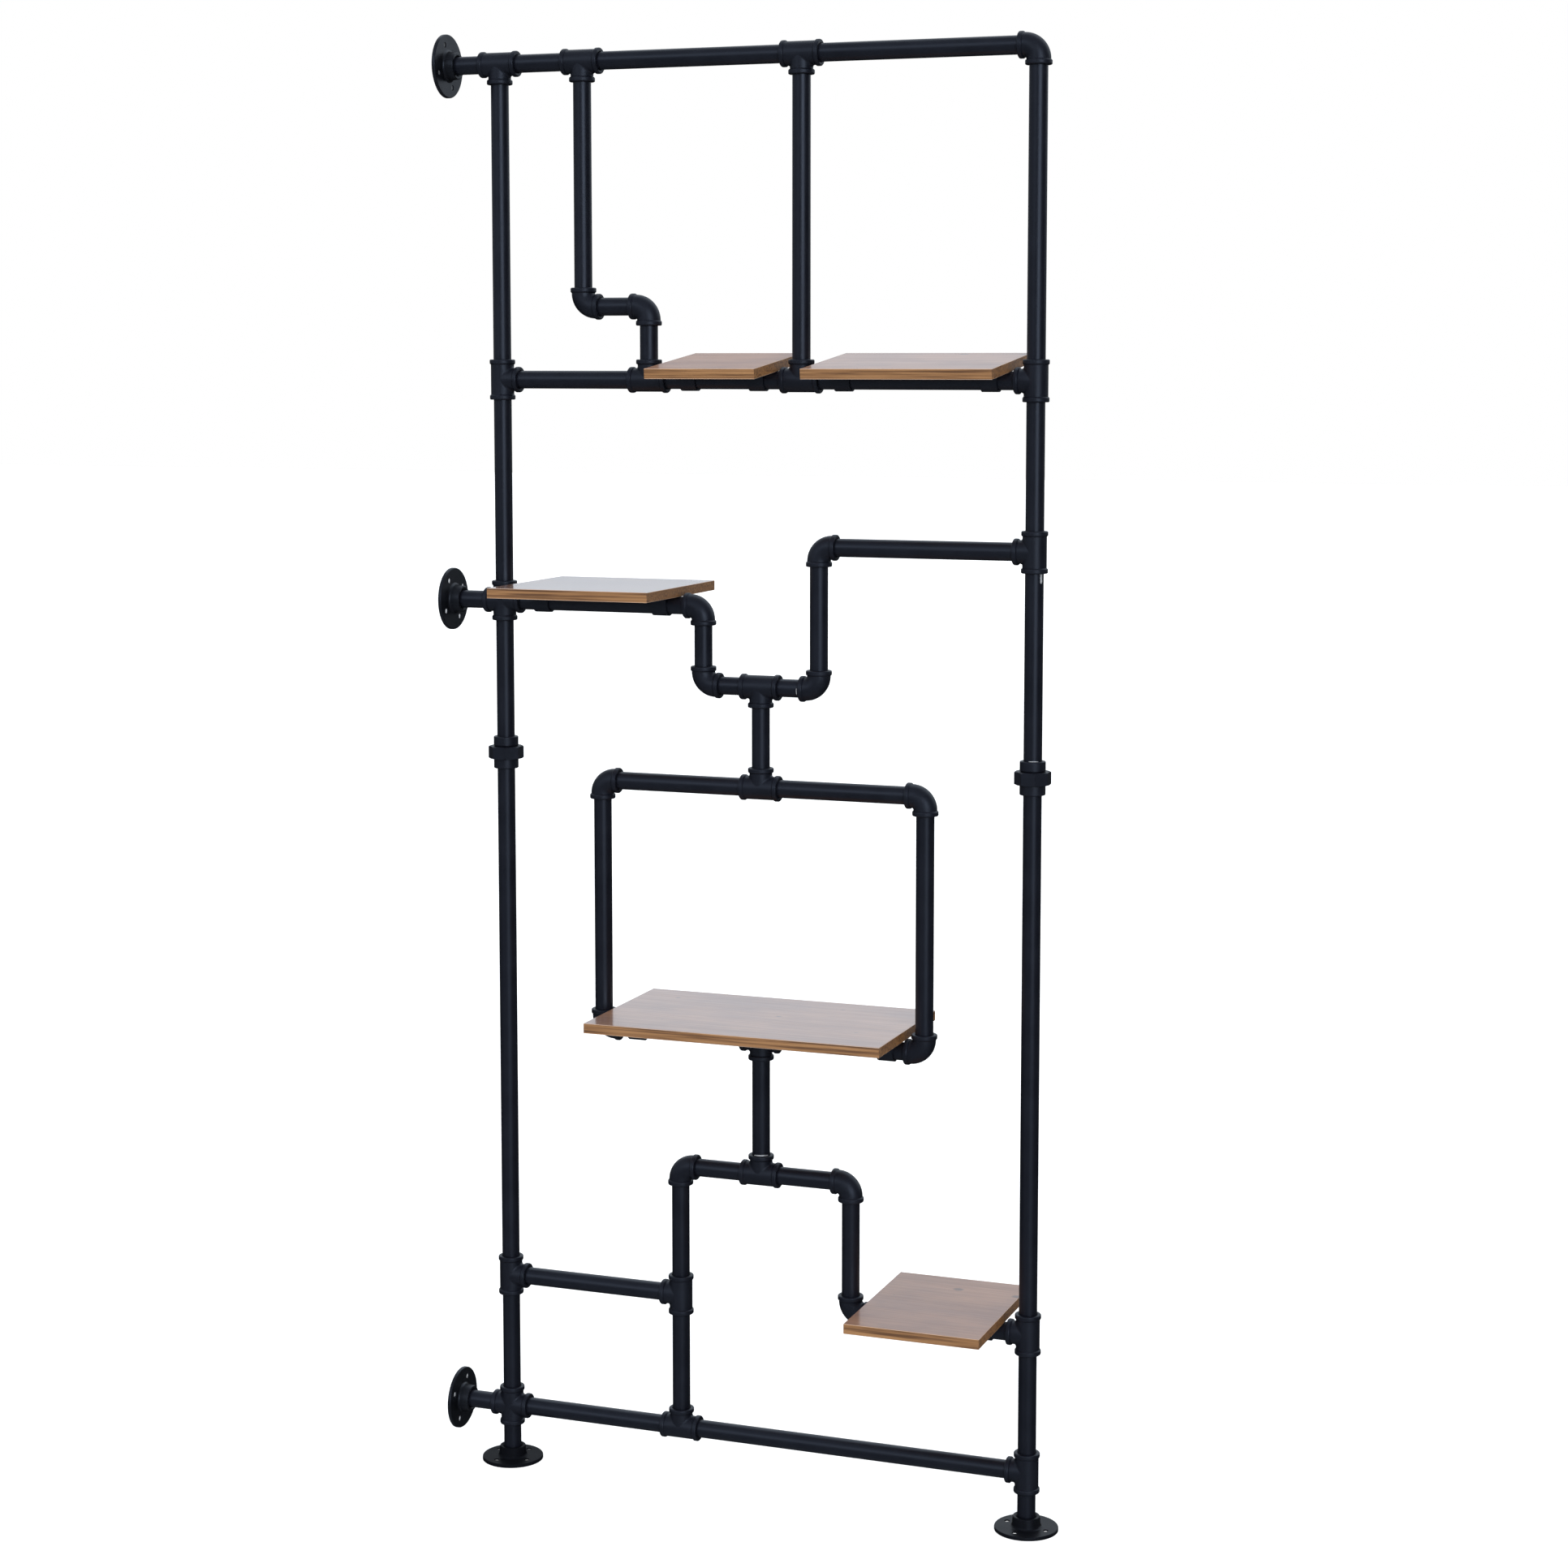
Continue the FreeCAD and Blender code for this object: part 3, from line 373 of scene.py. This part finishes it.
UP, DOWN, LEFT = (0, 0, 1), (0, 0, -1), (-1, 0, 0)
FRONT, FRONT_RIGHT, FRONT_DOWN = (0.35, -0.94, 0), (0.88, -0.47, 0), (0, -1, -0.25)
HANGER, POST = middle_of("bridge_hanger_pipe").x, middle_of("right_union_nut").x
LOOP_SIDE, LOOP_LEVEL = middle_of("loop_right_pipe").x, middle_of("loop_bottom_pipes").z
ELBOW_REACH = middle_of("loop_left_pipe").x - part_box("loop_elbows")[0].x
ABOVE_BRIDGE_TEE = (HANGER, 0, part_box("bridge_tee")[1].z)
ABOVE_UNION_TAIL = (POST, 0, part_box("union_tail_pieces")[1].z)
BELOW_BRANCH_TEE = (POST, 0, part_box("branch_rail_tee")[0].z)
LEFT_OF_LOOP_ELBOW = (LOOP_SIDE - ELBOW_REACH, 0, LOOP_LEVEL)

bare_patch("bridge_tee_thread", ABOVE_BRIDGE_TEE, UP, FRONT, half_angle=52, reach=0.0017, taper=0.5)
bare_patch("right_union_thread", ABOVE_UNION_TAIL, UP, FRONT, half_angle=33, reach=0.0009, taper=0.4)
bare_patch("branch_tee_scrape", BELOW_BRANCH_TEE, DOWN, FRONT_RIGHT, half_angle=8, reach=0.0115, taper=0.12)
bare_patch("loop_elbow_thread", LEFT_OF_LOOP_ELBOW, LEFT, FRONT_DOWN, half_angle=22, reach=0.0024, taper=0.05)


# ---------------------------------------------------------------- floor
FLOOR_SIZE = 60
FLOOR_MIDDLE = (0.35, 0, 0)
FLOOR_COLOURS = ((0.3, (0.66, 0.66, 0.66)), (0.7, (0.68, 0.68, 0.68)))
FLOOR_CLOUD_SCALE, FLOOR_GRAIN_SCALE, FLOOR_GRAIN_DEPTH = 0.6, 40, 0.0001
FLOOR_GLOW = 0.45


def floor():
    """A plain pale floor, which glows a little so that it meets the white behind it."""
    bpy.ops.mesh.primitive_plane_add(size=FLOOR_SIZE, location=FLOOR_MIDDLE)
    plane = bpy.context.object
    plane.name = "floor"
    plane.visible_glossy = False
    graph = Material("floor_paint")
    plane.data.materials.append(graph.shade(
        Base_Color=graph.ramp(graph.noise(FLOOR_CLOUD_SCALE), FLOOR_COLOURS),
        Roughness=0.8,
        Normal=graph.bump(graph.noise(FLOOR_GRAIN_SCALE), FLOOR_GRAIN_DEPTH),
        Emission_Color=(1, 1, 1, 1),
        Emission_Strength=FLOOR_GLOW,
    ))


# ---------------------------------------------------------------- light
# The studio that the gloss shows. Each soft panel has the direction of its middle, its half width and the
# fade round it in degrees, its brightness, and the heights in which it fades in (the horizon is 0, the
# zenith 1).
PANELS = (
    ((-0.05, 1.0, 0.25), 42, 22, 1.10, (0.02, 0.10)),
    ((-1.0, -0.35, 0.1), 30, 26, 0.36, (-0.10, 0.05)),
    ((0.60, -0.80, 0.12), 9, 12, 4.40, (-0.14, 0.06)),
    ((-0.32, -0.88, 0.34), 9, 12, 1.30, (0.05, 0.20)),
    ((0.0, -0.1, 1.0), 30, 30, 0.25, (0.0, 0.1)),
    ((0.0, -0.5, -0.85), 40, 30, 0.14, (-2.0, -1.9)),
)
AMBIENT = 0.04
ROOM_TINT = (0.85, 0.935, 1.03, 1)
BACKDROP = (1, 1, 1, 1)
# Each sun's place, strength and angular size in degrees. They aim at the object's middle.
SUNS = {
    "overhead": ((0.3, -0.8, 5), 2.3, 70),
    "front": ((1.6, -4, 3.2), 1.6, 40),
}
OBJECT_MIDDLE = Vector((0.35, 0, 0.9))


def studio():
    """White behind the object, and dimmer panels round it for the gloss to show."""
    world = bpy.data.worlds.new("studio")
    world.use_nodes = True
    graph = Graph(world.node_tree)
    towards = graph.add("ShaderNodeTexCoord").outputs["Generated"]
    height = graph.along(towards, "Z")
    light = AMBIENT
    for middle, half_width, spread, brightness, (low, high) in PANELS:
        aim = Vector(middle).normalized()
        nearness = graph.maths("DOT_PRODUCT", towards, aim, kind="ShaderNodeVectorMath")
        rim, core = (math.cos(math.radians(angle)) for angle in (half_width + spread, half_width))
        disc = graph.span(nearness, rim, core, 0.0, brightness, fade="SMOOTHSTEP")
        above = graph.span(height, low, high, 0.0, 1.0, fade="SMOOTHSTEP")
        light = graph.maths("ADD", graph.maths("MULTIPLY", disc, above), light)
    room = graph.add("ShaderNodeBackground", Color=ROOM_TINT, Strength=light).outputs[0]
    seen = graph.add("ShaderNodeBackground", Color=BACKDROP).outputs[0]
    camera_ray = graph.add("ShaderNodeLightPath").outputs["Is Camera Ray"]
    shown = graph.add("ShaderNodeMixShader", camera_ray, room, seen).outputs[0]
    graph.put(graph.tree.nodes["World Output"].inputs["Surface"], shown)
    bpy.context.scene.world = world


def suns():
    """Soft daylight from above and from the front, left out of the reflections."""
    for name, (place, strength, spread) in SUNS.items():
        data = bpy.data.lights.new(name, "SUN")
        data.energy = strength
        data.angle = math.radians(spread)
        light = bpy.data.objects.new(name, data)
        light.location = place
        light.rotation_euler = (OBJECT_MIDDLE - Vector(place)).to_track_quat("-Z", "Y").to_euler()
        light.visible_glossy = False
        bpy.context.scene.collection.objects.link(light)


# ---------------------------------------------------------------- camera
SENSOR_WIDTH, FOCAL_LENGTH = 36, 68.95
VERTICAL_SHIFT = -0.07
CAMERA_PLACE = (1.5805, -3.2785, 1.360)
LOOKING_DOWN, TURNED_LEFT = 5.96, 20.41


def camera():
    data = bpy.data.cameras.new("camera")
    data.sensor_width = SENSOR_WIDTH
    data.lens = FOCAL_LENGTH
    data.shift_y = VERTICAL_SHIFT
    seen_from = bpy.data.objects.new("camera", data)
    seen_from.location = CAMERA_PLACE
    seen_from.rotation_euler = (math.radians(90 - LOOKING_DOWN), 0, math.radians(TURNED_LEFT))
    bpy.context.scene.collection.objects.link(seen_from)
    bpy.context.scene.camera = seen_from


floor()
studio()
suns()
camera()
bpy.context.scene.view_settings.view_transform = "Standard"
